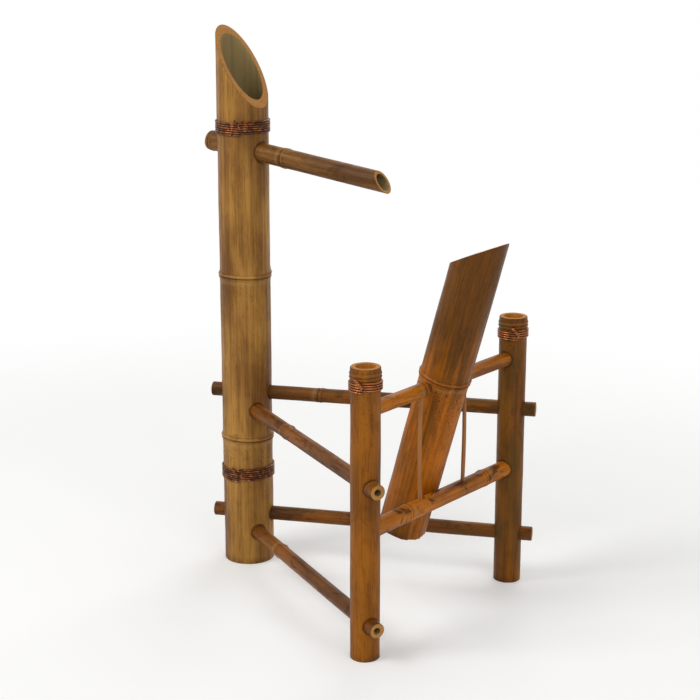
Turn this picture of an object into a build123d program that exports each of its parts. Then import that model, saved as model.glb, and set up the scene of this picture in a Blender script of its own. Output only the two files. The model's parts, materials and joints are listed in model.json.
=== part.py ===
from build123d import *
from math import asin, atan, atan2, cos, degrees, hypot, pi, radians, sin, tan
import os

# A bamboo deer scarer: a tall post whose spout feeds a tube that tips between two short posts.
# Millimetres, +Z up. The origin is the centre of the tall post's foot. +X runs from the tall
# post towards the tipping tube, and the two short posts stand equally far on either side of X.

# Tall post
tall_height = 600
tall_radius = 28
tall_wall = 6
tall_foot_node = 8
tall_cut_drop = 86
tall_node_heights = [146, 331]
tall_node_swell = 1.6
tall_node_half_height = 4

# Short posts
short_height = 300
short_radius = 15
short_wall = 5
short_foot_node = 8
short_cup_depth = 5
short_node_thickness = 6
short_node_swell = 0.9
short_node_half_height = 3
posts_apart = 256
posts_ahead = 268

# Cross poles from the tall post to the short posts
pole_radius = 8
pole_overhang = 12
pole_hollow_radius = 3.4
pole_hollow_depth = 18
pole_edge = 0.8
pole_crossing_gap = 0.5
low_pole_height = 38
high_pole_height = 181

# Arms, rail and sticks that hold the tube's pivot
arm_below_top = 45
rail_pole_room = 32.5
arm_radius = 7.7
arm_rounding = 2.6
arm_end_room = 2.3
rail_radius = 9
seat_past_axis = 3
stick_radius = 2.4
stick_from_arm_end = 8
stick_seat = 3.2

# Tipping tube
tube_mouth_radius = 26
tube_tail_radius = 25.8
tube_mouth_reach = 166
tube_tail_reach = 176
tube_wall = 3.4
tube_mouth_drop = 42
tube_node_above_pivot = 7.5
tube_node_thickness = 3
tube_node_swell = 1.4
tube_node_half_height = 4
tube_tail_node_thickness = 7
tube_tail_recess = 5
tube_tail_edge = 1.6

# Pivot pin
pin_radius = 3
pin_seat = 22
pin_edge = 0.5

# Spout
spout_below_top = 130
spout_radius = 10.5
spout_wall = 3
spout_slope = 5.5
spout_reach = 170
spout_back_reach = 19
spout_back_node = 6
spout_lip_drop = 17

# Feed hose inside the tall post
hose_radius = 5
hose_wall = 1.3
hose_side_offset = 16
hose_foot_gap = 0.5
hose_turn_rise = 36
hose_upright_end = 96.5
hose_bend_share = 0.45

# Wire wraps
wire_radius = 0.95
wire_pitch = 2.4
tall_wrap_turns = 6
short_wrap_turns = 4
tall_wrap_above_spout = 24
tall_wrap_above_ground = 106
short_wrap_above_arm = 27
quarters_per_turn = 4
gap_samples_per_arc = 6

# Clearances
seat_gap = 0.2
pin_gap = 0.05
pivot_gap = 0.08
rest_gap = 0.3
wrap_gap = 0.15
overrun = 20

# Places that follow from the sizes above
left_y = -posts_apart / 2
right_y = posts_apart / 2
pivot_height = short_height - arm_below_top
rail_height = high_pole_height - pole_radius - rail_pole_room - rail_radius
spout_height = tall_height - spout_below_top
pole_step = 2 * pole_radius + pole_crossing_gap
tube_length = tube_mouth_reach + tube_tail_reach
tube_taper = (tube_tail_radius - tube_mouth_radius) / tube_length


def tube_radius_at(reach):
    """Outer radius of the tipping tube at a distance from the pivot towards the mouth."""
    return tube_mouth_radius + tube_taper * (tube_mouth_reach - reach)


arm_end = tube_radius_at(tube_node_above_pivot) + tube_node_swell + arm_end_room
stick_y = arm_end + stick_from_arm_end
taper_angle = atan(tube_taper)
tube_beside_rail = tube_radius_at(0) * cos(taper_angle) + rail_radius + rest_gap
lean = taper_angle + asin(tube_beside_rail / (pivot_height - rail_height))

tube_axis = Vector(sin(lean), 0, cos(lean))
tube_front = Vector(cos(lean), 0, -sin(lean))
pivot = Vector(posts_ahead, 0, pivot_height)
tube_section = Plane(origin=pivot, x_dir=tube_front, z_dir=(0, -1, 0))

spout_angle = radians(spout_slope)
spout_axis = Vector(cos(spout_angle), 0, -sin(spout_angle))
spout_up = Vector(sin(spout_angle), 0, cos(spout_angle))
spout_centre = Vector(0, 0, spout_height)
spout_back = (tall_radius + spout_back_reach) / cos(spout_angle)
spout_front = (tall_radius + spout_reach) / cos(spout_angle)


def write(part, label):
    """Labels a finished piece and writes it to its own file."""
    part.label = label
    export_step(part, f"parts/{label}.step")


def culm_side(low_radius, high_radius, length, nodes, swell, half_height):
    """Draws a culm's outer side, from its low end up, with a swollen ring at each node."""
    def on_side(height):
        return low_radius + (high_radius - low_radius) * height / length

    start = (on_side(0), 0)
    for node in nodes:
        below = (on_side(node - half_height), node - half_height)
        above = (on_side(node + half_height), node + half_height)
        Line(start, below)
        ThreePointArc(below, (on_side(node) + swell, node), above)
        start = above
    Line(start, (high_radius, length))


def pole_line(side_y, height):
    """The start and the unit direction of a cross pole's axis, from the tall post's axis."""
    run = hypot(posts_ahead, side_y)
    return Vector(0, 0, height), Vector(posts_ahead / run, side_y / run, 0)


def pole_hole_plane(side_y, height):
    """A plane square to a cross pole, through the tall post's axis."""
    start, along = pole_line(side_y, height)
    return Plane(origin=start, z_dir=along)


def make_tall_post():
    with BuildPart() as post:
        with BuildSketch(Plane.XZ):
            with BuildLine():
                culm_side(
                    tall_radius, tall_radius, tall_height,
                    tall_node_heights, tall_node_swell, tall_node_half_height,
                )
                Polyline((tall_radius, tall_height), (0, tall_height), (0, 0), (tall_radius, 0))
            make_face()
        revolve(axis=Axis.Z)
        with BuildSketch(Plane.XY.offset(tall_foot_node)):
            Circle(tall_radius - tall_wall)
        extrude(amount=tall_height, mode=Mode.SUBTRACT)
        cut_middle = Vector(0, 0, tall_height - tall_cut_drop / 2)
        split(bisect_by=Plane(origin=cut_middle, z_dir=(tall_cut_drop, 0, 2 * tall_radius)),
              keep=Keep.BOTTOM)
        for base in (low_pole_height, high_pole_height):
            for side_y, height in ((left_y, base), (right_y, base + pole_step)):
                with BuildSketch(pole_hole_plane(side_y, height)):
                    Circle(pole_radius + seat_gap)
                extrude(amount=tall_radius + overrun, both=True, mode=Mode.SUBTRACT)
        with BuildSketch(Plane(origin=spout_centre, z_dir=spout_axis)):
            Circle(spout_radius + seat_gap)
        extrude(amount=tall_radius + overrun, both=True, mode=Mode.SUBTRACT)
        with BuildSketch(Plane.XY):
            with Locations((0, hose_side_offset)):
                Circle(hose_radius + seat_gap)
        extrude(amount=tall_foot_node, mode=Mode.SUBTRACT)
    return post.part


def make_short_post(side_y, step):
    """One short post, on its own side of the X axis, with its cross poles raised by a step."""
    inward = -1 if side_y > 0 else 1
    node_top = short_height - short_cup_depth
    node_middle = node_top - short_node_thickness / 2
    hollow_height = node_top - short_node_thickness - short_foot_node
    with BuildPart() as post:
        foot = Vector(posts_ahead, side_y, 0)
        with BuildSketch(Plane(origin=foot, x_dir=(1, 0, 0), z_dir=(0, -1, 0))):
            with BuildLine():
                culm_side(
                    short_radius, short_radius, short_height,
                    [node_middle], short_node_swell, short_node_half_height,
                )
                Polyline((short_radius, short_height), (0, short_height), (0, 0), (short_radius, 0))
            make_face()
        revolve(axis=Axis(foot, (0, 0, 1)))
        with BuildSketch(Plane(origin=foot + Vector(0, 0, short_foot_node))):
            Circle(short_radius - short_wall)
        extrude(amount=hollow_height, mode=Mode.SUBTRACT)
        with BuildSketch(Plane(origin=foot + Vector(0, 0, node_top))):
            Circle(short_radius - short_wall)
        extrude(amount=short_cup_depth, mode=Mode.SUBTRACT)
        for base in (low_pole_height, high_pole_height):
            with BuildSketch(pole_hole_plane(side_y, base + step)):
                Circle(pole_radius + seat_gap)
            extrude(amount=2 * posts_ahead, mode=Mode.SUBTRACT)
        for radius, height in ((arm_radius, pivot_height), (rail_radius, rail_height)):
            axis_point = Vector(posts_ahead, side_y, height)
            with BuildSketch(Plane(origin=axis_point, z_dir=(0, inward, 0))):
                Circle(radius + seat_gap)
            extrude(amount=short_radius + overrun, mode=Mode.SUBTRACT)
    return post.part


def make_cross_pole(side_y, height):
    """A pole through the tall post and one short post, with its natural hollow at each end."""
    start, along = pole_line(side_y, height)
    back = tall_radius + pole_overhang
    front = hypot(posts_ahead, side_y) + short_radius + pole_overhang
    with BuildPart() as pole:
        with BuildSketch(Plane(origin=start - along * back, z_dir=along)):
            Circle(pole_radius)
        extrude(amount=back + front)
        chamfer(pole.edges(), length=pole_edge)
        for end, inward in ((-back, along), (front, along * -1)):
            with BuildSketch(Plane(origin=start + along * end, z_dir=inward)):
                Circle(pole_hollow_radius)
            extrude(amount=pole_hollow_depth, mode=Mode.SUBTRACT)
    return pole.part


def make_arm(side_y):
    """An arm from a short post to the tube's side, bored for the pivot pin and the stick."""
    inward = -1 if side_y > 0 else 1
    outer_end = Vector(posts_ahead, side_y - inward * seat_past_axis, pivot_height)
    inner_end = Vector(posts_ahead, -inward * arm_end, pivot_height)
    with BuildPart() as arm:
        with BuildSketch(Plane(origin=outer_end, z_dir=(0, inward, 0))):
            Circle(arm_radius)
        extrude(amount=abs(inner_end.Y - outer_end.Y))
        rim = arm.edges().filter_by(GeomType.CIRCLE).sort_by(lambda edge: abs(edge.center().Y))[0]
        fillet(rim, radius=arm_rounding)
        with BuildSketch(Plane(origin=inner_end, z_dir=(0, -inward, 0))):
            Circle(pin_radius + pin_gap)
        extrude(amount=pin_seat + seat_gap, mode=Mode.SUBTRACT)
        stick_mouth = Vector(posts_ahead, -inward * stick_y, pivot_height - arm_radius)
        with BuildSketch(Plane(origin=stick_mouth)):
            Circle(stick_radius + seat_gap)
        extrude(amount=stick_seat, mode=Mode.SUBTRACT)
        with BuildSketch(Plane(origin=stick_mouth)):
            Circle(stick_radius + seat_gap)
        extrude(amount=-arm_radius, mode=Mode.SUBTRACT)
    return arm.part


def make_lower_rail():
    half_length = posts_apart / 2 + seat_past_axis
    with BuildPart() as rail:
        with BuildSketch(Plane(origin=(posts_ahead, 0, rail_height), z_dir=(0, 1, 0))):
            Circle(rail_radius)
        extrude(amount=half_length, both=True)
        for side in (-1, 1):
            seat_floor = Vector(posts_ahead, side * stick_y, rail_height + rail_radius - stick_seat)
            with BuildSketch(Plane(origin=seat_floor)):
                Circle(stick_radius + seat_gap)
            extrude(amount=stick_seat + overrun, mode=Mode.SUBTRACT)
    return rail.part


def make_stick(side):
    """A thin stick that props an arm's inner end off the lower rail."""
    low = rail_height + rail_radius - stick_seat
    high = pivot_height - arm_radius + stick_seat
    with BuildPart() as stick:
        with BuildSketch(Plane(origin=(posts_ahead, side * stick_y, low))):
            Circle(stick_radius)
        extrude(amount=high - low)
    return stick.part


def make_pivot_pin():
    half_length = arm_end + pin_seat
    with BuildPart() as pin:
        with BuildSketch(Plane(origin=pivot, z_dir=(0, 1, 0))):
            Circle(pin_radius)
        extrude(amount=half_length, both=True)
        chamfer(pin.edges().filter_by(GeomType.CIRCLE), length=pin_edge)
    return pin.part


def make_tumbler_tube():
    """The tipping tube at rest, its mouth forward and its tail back against the lower rail."""
    lean_axis = Axis(pivot, tube_axis)
    node_low = tube_node_above_pivot - tube_node_thickness / 2
    node_high = tube_node_above_pivot + tube_node_thickness / 2
    tail_node_low = -tube_tail_reach + tube_tail_recess
    tail_node_high = tail_node_low + tube_tail_node_thickness
    with BuildPart() as tube:
        tail_end = pivot - tube_axis * tube_tail_reach
        with BuildSketch(Plane(origin=tail_end, x_dir=tube_front, z_dir=(0, -1, 0))):
            with BuildLine():
                culm_side(
                    tube_tail_radius, tube_mouth_radius, tube_length,
                    [tube_tail_reach + tube_node_above_pivot],
                    tube_node_swell, tube_node_half_height,
                )
                Polyline(
                    (tube_mouth_radius, tube_length), (0, tube_length),
                    (0, 0), (tube_tail_radius, 0),
                )
            make_face()
        revolve(axis=lean_axis)
        tail_rim = tube.edges().filter_by(GeomType.CIRCLE).sort_by(Axis.Z)[0]
        fillet(tail_rim, radius=tube_tail_edge)
        for low, high in (
            (-tube_tail_reach, tail_node_low),
            (tail_node_high, node_low),
            (node_high, tube_mouth_reach),
        ):
            low_radius = tube_radius_at(low) - tube_wall
            high_radius = tube_radius_at(high) - tube_wall
            with BuildSketch(tube_section):
                with BuildLine():
                    Polyline(
                        (0, low), (low_radius, low), (high_radius, high), (0, high), close=True
                    )
                make_face()
            revolve(axis=lean_axis, mode=Mode.SUBTRACT)
        cut_middle = pivot + tube_axis * (tube_mouth_reach - tube_mouth_drop / 2)
        cut_normal = tube_axis * (2 * tube_mouth_radius) - tube_front * tube_mouth_drop
        split(bisect_by=Plane(origin=cut_middle, z_dir=cut_normal), keep=Keep.BOTTOM)
        with BuildSketch(Plane(origin=pivot, z_dir=(0, 1, 0))):
            Circle(pin_radius + pivot_gap)
        extrude(amount=tube_tail_radius + overrun, both=True, mode=Mode.SUBTRACT)
    return tube.part


def make_spout():
    """The spout through the tall post: closed behind by a node, cut to a lip in front."""
    with BuildPart() as spout:
        with BuildSketch(Plane(origin=spout_centre - spout_axis * spout_back, z_dir=spout_axis)):
            Circle(spout_radius)
        extrude(amount=spout_back + spout_front)
        hollow_start = spout_centre - spout_axis * (spout_back - spout_back_node)
        with BuildSketch(Plane(origin=hollow_start, z_dir=spout_axis)):
            Circle(spout_radius - spout_wall)
        extrude(amount=spout_back + spout_front, mode=Mode.SUBTRACT)
        lip_middle = spout_centre + spout_axis * (spout_front - spout_lip_drop / 2)
        lip_normal = spout_axis * (2 * spout_radius) + spout_up * spout_lip_drop
        split(bisect_by=Plane(origin=lip_middle, z_dir=lip_normal), keep=Keep.BOTTOM)
        with BuildSketch(Plane(origin=spout_centre, z_dir=(0, 0, -1))):
            Circle(hose_radius + seat_gap)
        extrude(amount=spout_radius + overrun, mode=Mode.SUBTRACT)
    return spout.part


def make_feed_hose():
    """The hose up the tall post, from the foot to the hole in the spout's underside."""
    top = spout_height - (spout_radius - spout_wall)
    turn_end = top - hose_upright_end
    turn_start = turn_end - hose_turn_rise
    half_turn = atan2(hose_side_offset, hose_turn_rise) / 2
    slanted_run = hypot(hose_side_offset, hose_turn_rise)
    bend = hose_bend_share * slanted_run / tan(half_turn)
    print("hose bend radius", round(bend, 1), "mm, diameter", 2 * hose_radius, "mm")
    foot = Vector(0, hose_side_offset, hose_foot_gap)
    with BuildPart() as hose:
        with BuildLine() as route:
            FilletPolyline(
                foot,
                (0, hose_side_offset, turn_start),
                (0, 0, turn_end),
                (0, 0, top),
                radius=bend,
            )
        with BuildSketch(Plane(origin=foot)):
            Circle(hose_radius)
            Circle(hose_radius - hose_wall, mode=Mode.SUBTRACT)
        sweep(path=route.wire())
    return hose.part


def winding_arcs(points, tangents):
    """Draws two arcs that meet smoothly between each pair of points on a winding."""
    for k in range(len(points) - 1):
        across = points[k + 1] - points[k]
        both = tangents[k] + tangents[k + 1]
        bend = 2 * (1 - tangents[k].dot(tangents[k + 1]))
        along = across.dot(both)
        arm = ((along * along + bend * across.dot(across)) ** 0.5 - along) / bend
        first = points[k] + tangents[k] * arm
        second = points[k + 1] - tangents[k + 1] * arm
        middle = (first + second) * 0.5
        TangentArc(points[k], middle, tangent=tangents[k])
        TangentArc(middle, points[k + 1], tangent=second - first)


def least_gap(path, turn_length, diameter):
    """Least distance between turns of a path, less the wire's diameter, measured on points."""
    samples = []
    travelled = 0
    for edge in path.edges():
        for k in range(gap_samples_per_arc):
            share = k / gap_samples_per_arc
            samples.append((travelled + edge.length * share, edge.position_at(share)))
        travelled += edge.length
    near = min(
        (a - b).length
        for i, (at_a, a) in enumerate(samples)
        for at_b, b in samples[:i]
        if at_a - at_b > turn_length / 2
    )
    return near - diameter


def make_wrap(label, axis_x, axis_y, middle_height, post_radius, turns):
    """A wire wound round a post in one unbroken helix with straight ends."""
    radius = post_radius + wrap_gap + wire_radius
    rise = wire_pitch / quarters_per_turn
    steps = turns * quarters_per_turn
    low = middle_height - steps * rise / 2
    points = []
    tangents = []
    for k in range(steps + 1):
        turn = 2 * pi * k / quarters_per_turn
        points.append(
            Vector(axis_x + radius * cos(turn), axis_y + radius * sin(turn), low + k * rise)
        )
        slope = Vector(-radius * sin(turn), radius * cos(turn), wire_pitch / (2 * pi))
        tangents.append(slope.normalized())
    tail = 2 * wire_radius
    with BuildPart() as wrap:
        with BuildLine() as path:
            Line(points[0] - tangents[0] * tail, points[0])
            winding_arcs(points, tangents)
            Line(points[-1], points[-1] + tangents[-1] * tail)
        with BuildSketch(Plane(origin=points[0] - tangents[0] * tail, z_dir=tangents[0])):
            Circle(wire_radius)
        sweep(path=path.wire())
    gap = least_gap(path.wire(), 2 * pi * radius, 2 * wire_radius)
    print(label, "least gap between turns", round(gap, 3), "mm")
    return wrap.part


os.makedirs("parts", exist_ok=True)
print("tube's lean at rest", round(degrees(lean), 2), "degrees")

write(make_tall_post(), "tall_post")
write(make_spout(), "spout")
write(make_feed_hose(), "feed_hose")
write(make_lower_rail(), "lower_rail")
write(make_pivot_pin(), "pivot_pin")
write(make_tumbler_tube(), "tumbler_tube")

for name, side_y, step in (("left", left_y, 0), ("right", right_y, pole_step)):
    write(make_short_post(side_y, step), f"{name}_post")
    write(make_arm(side_y), f"{name}_arm")
    write(make_stick(-1 if side_y < 0 else 1), f"{name}_stick")
    write(make_cross_pole(side_y, low_pole_height + step), f"{name}_lower_pole")
    write(make_cross_pole(side_y, high_pole_height + step), f"{name}_upper_pole")
    label = f"{name}_post_wrap"
    wrap_height = pivot_height + short_wrap_above_arm
    wrap = make_wrap(label, posts_ahead, side_y, wrap_height, short_radius, short_wrap_turns)
    write(wrap, label)

for name, height in (
    ("upper", spout_height + tall_wrap_above_spout),
    ("lower", tall_wrap_above_ground),
):
    label = f"tall_post_{name}_wrap"
    write(make_wrap(label, 0, 0, height, tall_radius, tall_wrap_turns), label)
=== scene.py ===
import itertools
import json
import math

import bpy
import numpy as np
from bpy.props import FloatProperty, FloatVectorProperty, IntProperty, PointerProperty
from mathutils import Matrix, Vector


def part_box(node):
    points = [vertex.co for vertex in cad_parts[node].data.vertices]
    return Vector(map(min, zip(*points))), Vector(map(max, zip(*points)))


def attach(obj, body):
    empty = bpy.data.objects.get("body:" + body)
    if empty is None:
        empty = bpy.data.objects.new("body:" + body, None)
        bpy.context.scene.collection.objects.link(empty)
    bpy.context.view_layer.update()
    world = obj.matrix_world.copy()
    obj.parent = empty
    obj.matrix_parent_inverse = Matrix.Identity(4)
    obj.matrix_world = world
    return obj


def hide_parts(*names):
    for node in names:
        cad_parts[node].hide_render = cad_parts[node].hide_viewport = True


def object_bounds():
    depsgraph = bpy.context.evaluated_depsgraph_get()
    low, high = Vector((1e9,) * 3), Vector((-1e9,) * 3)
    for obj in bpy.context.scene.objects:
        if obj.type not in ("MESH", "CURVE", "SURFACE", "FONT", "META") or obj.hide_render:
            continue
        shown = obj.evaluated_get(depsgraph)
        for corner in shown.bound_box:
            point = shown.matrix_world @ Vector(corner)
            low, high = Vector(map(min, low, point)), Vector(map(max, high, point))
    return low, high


# A bamboo deer scarer, dressed for the camera: every culm, stick and wire as it looks, in metres.

bl_info = {
    "name": "Bamboo deer scarer",
    "version": (1, 0, 0),
    "blender": (4, 5, 0),
    "location": "View3D > Sidebar > Scarer",
    "description": "Makes the culms, sticks, wires and stage of a bamboo deer scarer",
    "category": "Object",
}

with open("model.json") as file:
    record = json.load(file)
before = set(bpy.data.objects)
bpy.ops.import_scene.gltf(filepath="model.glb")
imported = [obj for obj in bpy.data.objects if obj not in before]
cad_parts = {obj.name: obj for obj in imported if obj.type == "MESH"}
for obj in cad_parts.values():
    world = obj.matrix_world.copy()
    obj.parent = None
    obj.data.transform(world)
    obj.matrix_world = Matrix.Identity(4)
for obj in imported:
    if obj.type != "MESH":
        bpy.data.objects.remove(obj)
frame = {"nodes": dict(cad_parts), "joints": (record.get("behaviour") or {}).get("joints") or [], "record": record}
cad_box = [list(corner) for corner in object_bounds()]

MM = 0.001
UP = Vector((0, 0, 1))
PIVOT = Vector(frame["joints"][0]["pos_m"])
FEET = {
    mount["name"]: Vector(mount["pos_m"])
    for mount in frame["record"]["mounts"] if mount["name"].endswith("_foot")
}
SIDES = ("left", "right")
LEVELS = ("lower", "upper")
SHARP = math.radians(42)


def span(node):
    """How far a node of the frame reaches along x, y and z."""
    low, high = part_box(node)
    return high - low


def middle(node):
    """The middle of a node's box."""
    low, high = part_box(node)
    return (low + high) / 2


def tone(red, green, blue):
    """A colour as a screen shows it, 0 to 255, turned into the linear colour that shaders use."""
    screen = np.array((red, green, blue)) / 255
    linear = np.where(screen <= 0.04045, screen / 12.92, ((screen + 0.055) / 1.055) ** 2.4)
    return tuple(float(share) for share in linear)


# What a user may change

def length(name, description, default):
    return FloatProperty(
        name=name, description=description, default=default, min=0, precision=5, unit="LENGTH"
    )


def shade(name, description, default):
    return FloatVectorProperty(
        name=name, description=description, default=default, size=3, min=0, max=1, subtype="COLOR"
    )


class ScarerSizes(bpy.types.PropertyGroup):
    tall_ridge: length("Tall post ridge", "How far the tall post's nodes stand proud", 1.6 * MM)
    tall_wall: length("Tall post wall", "Wall of the tall post", 6 * MM)
    tall_floor: length("Tall post floor", "Thickness of the node in the tall post's foot", 8 * MM)
    tall_cut: length("Tall post cut", "Drop of the slanted cut across the tall post's top", 86 * MM)
    tall_low_node: length("Lower node", "Height of the tall post's lower node", 146 * MM)
    tall_high_node: length("Upper node", "Height of the tall post's upper node", 331 * MM)
    short_ridge: length("Short post ridge", "How far a short post's node stands proud", 0.9 * MM)
    short_wall: length("Short post wall", "Wall of a short post at its cup", 5 * MM)
    short_cup: length("Cup", "Depth of the cup in a short post's top", 5 * MM)
    short_node_drop: length("Short post node", "From a short post's top down to its node", 8 * MM)
    short_scar_drop: length("Scar", "From a short post's top down to its lower scar", 11.5 * MM)
    hole_gap: length("Hole gap", "Gap round a pole, arm or spout in its hole", 0.25 * MM)
    pole_hollow: length("Pole bore", "Radius of the natural hollow in a pole", 3.4 * MM)
    pole_hollow_depth: length("Bore depth", "How deep a pole's hollow shows", 18 * MM)
    pole_ridge: length("Pole ridge", "How far a pole's nodes stand proud", 0.55 * MM)
    rail_ridge: length("Rail ridge", "How far the nodes of rail and arms stand proud", 0.5 * MM)
    edge: length("Edge", "Softness of a sawn edge", 0.5 * MM)
    tube_mouth_radius: length("Mouth radius", "Outer radius of the tipping tube at its mouth", 26 * MM)
    tube_tail_radius: length("Tail radius", "Outer radius of the tipping tube at its tail", 25.8 * MM)
    tube_mouth_reach: length("Mouth reach", "From the pivot to the tip of the tube's mouth", 166 * MM)
    tube_tail_reach: length("Tail reach", "From the pivot to the tube's tail", 176 * MM)
    tube_wall: length("Tube wall", "Wall of the tipping tube", 3.4 * MM)
    tube_cut: length("Mouth cut", "Drop of the slanted cut across the tube's mouth", 42 * MM)
    tube_node: length("Tube node", "From the pivot up to the tube's node", 7.5 * MM)
    tube_ridge: length("Tube ridge", "How far the tube's node stands proud", 1.5 * MM)
    tube_recess: length("Tail recess", "Depth of the hollow in the tube's tail", 5 * MM)
    tube_rest_gap: length("Rest gap", "Gap between the resting tube and the lower rail", 0.3 * MM)
    pin_hole: length("Pin hole", "Radius of the pivot's hole through the tube", 3.1 * MM)
    spout_wall: length("Spout wall", "Wall of the spout", 3 * MM)
    spout_cut: length("Spout cut", "Drop of the slanted cut across the spout's lip", 17 * MM)
    spout_back_node: length("Spout node", "Thickness of the node in the spout's back", 6 * MM)
    spout_ridge: length("Spout ridge", "How far the spout's nodes stand proud", 0.7 * MM)
    girth_noise: length("Girth", "How far a culm's girth falls short here and there", 0.5 * MM)
    flute_noise: length("Flutes", "Depth of the lengthwise flutes in the tube's tail", 1.6 * MM)
    stick_bow: length("Stick bow", "How far a stick bends from straight", 1.1 * MM)
    wire_radius: length("Wire", "Radius of the binding wire", 0.95 * MM)
    wire_pitch: length("Pitch", "Rise of one turn of the binding wire", 2.4 * MM)
    wire_pull: length("Wire pull", "How far the wire is drawn in to a culm's uneven skin", 0.3 * MM)
    twist_length: length("Twist", "Length of the binding wire's twisted end", 11 * MM)
    tall_turns: IntProperty(name="Tall turns", description="Turns of wire on the tall post", default=6)
    short_turns: IntProperty(name="Short turns", description="Turns of wire on a short post", default=4)
    spout_slope: FloatProperty(
        name="Slope", description="How far the spout dips", default=math.radians(5.5), unit="ROTATION"
    )


class ScarerColours(bpy.types.PropertyGroup):
    tall_dark: shade("Tall dark", "Dark skin of the tall post", tone(116, 74, 30))
    tall_light: shade("Tall light", "Light skin of the tall post", tone(190, 138, 64))
    post_dark: shade("Post dark", "Dark skin of a short post", tone(100, 56, 7))
    post_light: shade("Post light", "Light skin of a short post", tone(164, 97, 13))
    tube_dark: shade("Tube dark", "Dark skin of the tipping tube", tone(100, 60, 6))
    tube_light: shade("Tube light", "Light skin of the tipping tube", tone(196, 110, 8))
    rail_dark: shade("Rail dark", "Dark mottles of the rail", tone(92, 46, 6))
    rail_light: shade("Rail light", "Golden skin of the rail and arms", tone(204, 120, 16))
    pole_dark: shade("Pole dark", "Dark skin of a cross pole", tone(82, 45, 10))
    pole_light: shade("Pole light", "Light skin of a cross pole", tone(146, 86, 20))
    spout_dark: shade("Spout dark", "Dark skin of the spout", tone(92, 57, 20))
    spout_light: shade("Spout light", "Light skin of the spout", tone(156, 104, 42))
    olive: shade("Olive", "Greenish cast on some culms", tone(84, 61, 16))
    # Besides real smoked marks, this colour also paints the shade round each drilled hole in the bamboo
    smoke: shade("Smoke", "Smoked patches and specks", tone(52, 28, 9))
    cut: shade("Cut", "Sawn ends", tone(196, 138, 74))
    inner: shade("Inner", "Inside of a culm", tone(146, 126, 82))
    cup: shade("Cup", "Node in the top of a short post", tone(186, 122, 46))
    stick: shade("Stick", "Split sticks", tone(168, 112, 56))
    copper: shade("Copper", "Bright copper wire", tone(150, 92, 56))
    browned: shade("Browned", "Browned copper wire", tone(78, 44, 28))
    steel: shade("Steel", "Pivot pin", tone(168, 166, 162))
    rubber: shade("Rubber", "Feed hose", tone(38, 38, 38))
    bloom: shade("Bloom", "Pale bloom under a node", tone(196, 156, 98))
    floor: shade("Floor", "Floor", tone(236, 236, 234))


# Nodes as expressions

class Signal:
    """A socket that can stand in a sum, so that maths on it reads as a plain expression."""

    def __init__(self, graph, socket):
        self.graph = graph
        self.socket = socket

    def maths(self, operation, *values):
        return self.graph.add("ShaderNodeMath", {"operation": operation}, dict(enumerate(values)))

    def __add__(self, other):
        return self.maths("ADD", self, other)

    def __radd__(self, other):
        return self.maths("ADD", other, self)

    def __sub__(self, other):
        return self.maths("SUBTRACT", self, other)

    def __rsub__(self, other):
        return self.maths("SUBTRACT", other, self)

    def __mul__(self, other):
        return self.maths("MULTIPLY", self, other)

    def __rmul__(self, other):
        return self.maths("MULTIPLY", other, self)

    def __abs__(self):
        return self.maths("ABSOLUTE", self)

    def rises(self, start, end):
        """0 up to start and 1 from end, smooth between; start may be above end."""
        return self.graph.add(
            "ShaderNodeMapRange", {"interpolation_type": "SMOOTHSTEP"}, {0: self, 1: start, 2: end}
        )

    def near(self, place, reach):
        """1 at a place and 0 from reach away."""
        return abs(self - place).rises(reach, 0)


class Graph:
    """A node tree that is written as code."""

    def __init__(self, tree):
        self.tree = tree

    def add(self, kind, settings=None, inputs=None, output=0):
        """Adds a node, sets it, then gives its sockets values or links, and returns one output."""
        made = self.tree.nodes.new(kind)
        for key, value in (settings or {}).items():
            setattr(made, key, value)
        for key, value in (inputs or {}).items():
            if isinstance(value, Signal):
                self.tree.links.new(value.socket, made.inputs[key])
            else:
                made.inputs[key].default_value = value
        return Signal(self, made.outputs[output]) if len(made.outputs) else None

    def mix(self, first, second, factor):
        """One colour over another; a mix node keeps its colours in sockets 6 and 7."""
        inputs = {0: factor, 6: first, 7: second}
        for key in (6, 7):
            if not isinstance(inputs[key], Signal):
                inputs[key] = (*inputs[key], 1)
        return self.add("ShaderNodeMix", {"data_type": "RGBA"}, inputs, 2)

    def vector(self, operation, first, second):
        return self.add("ShaderNodeVectorMath", {"operation": operation}, {0: first, 1: second})

    def noise(self, where, across, along, detail=2.0, distortion=0.0, roughness=0.5):
        """Noise with so many features per metre across the grain and along it."""
        stretched = self.vector("MULTIPLY", where, (across, across, along))
        return self.add("ShaderNodeTexNoise", {}, {
            "Vector": stretched, "Scale": 1.0, "Detail": detail,
            "Distortion": distortion, "Roughness": roughness,
        })

    def attribute(self, name, output="Fac"):
        return self.add("ShaderNodeAttribute", {"attribute_name": name}, {}, output)

    def place(self):
        """Where a point lies on its object."""
        return self.add("ShaderNodeTexCoord", {}, {}, "Object")

    def bump(self, height, strength, distance):
        return self.add(
            "ShaderNodeBump", {}, {"Strength": strength, "Distance": distance, "Height": height}
        )

    def white(self, kind, strength):
        return self.add(kind, {}, {"Color": (1, 1, 1, 1), "Strength": strength})

    def direct(self):
        """1 for rays from the camera, a mirror or a glass, and 0 for the rest."""
        rays = [
            self.add("ShaderNodeLightPath", {}, {}, f"Is {kind} Ray")
            for kind in ("Camera", "Glossy", "Transmission")
        ]
        return rays[0].maths("MAXIMUM", rays[0], rays[1].maths("MAXIMUM", rays[1], rays[2]))

    def joined(self, *parts):
        join = self.tree.nodes.new("GeometryNodeJoinGeometry")
        for part in parts:
            self.tree.links.new(part.socket, join.inputs[0])
        return Signal(self, join.outputs[0])


# Materials

def new_material(name):
    material = bpy.data.materials.new(name)
    material.use_nodes = True
    material.node_tree.nodes.clear()
    return material, Graph(material.node_tree)


def surface(graph, sockets):
    """The shader and output at the end of a material."""
    shader = graph.add("ShaderNodeBsdfPrincipled", {}, sockets)
    graph.add("ShaderNodeOutputMaterial", {}, {"Surface": shader})


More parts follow.
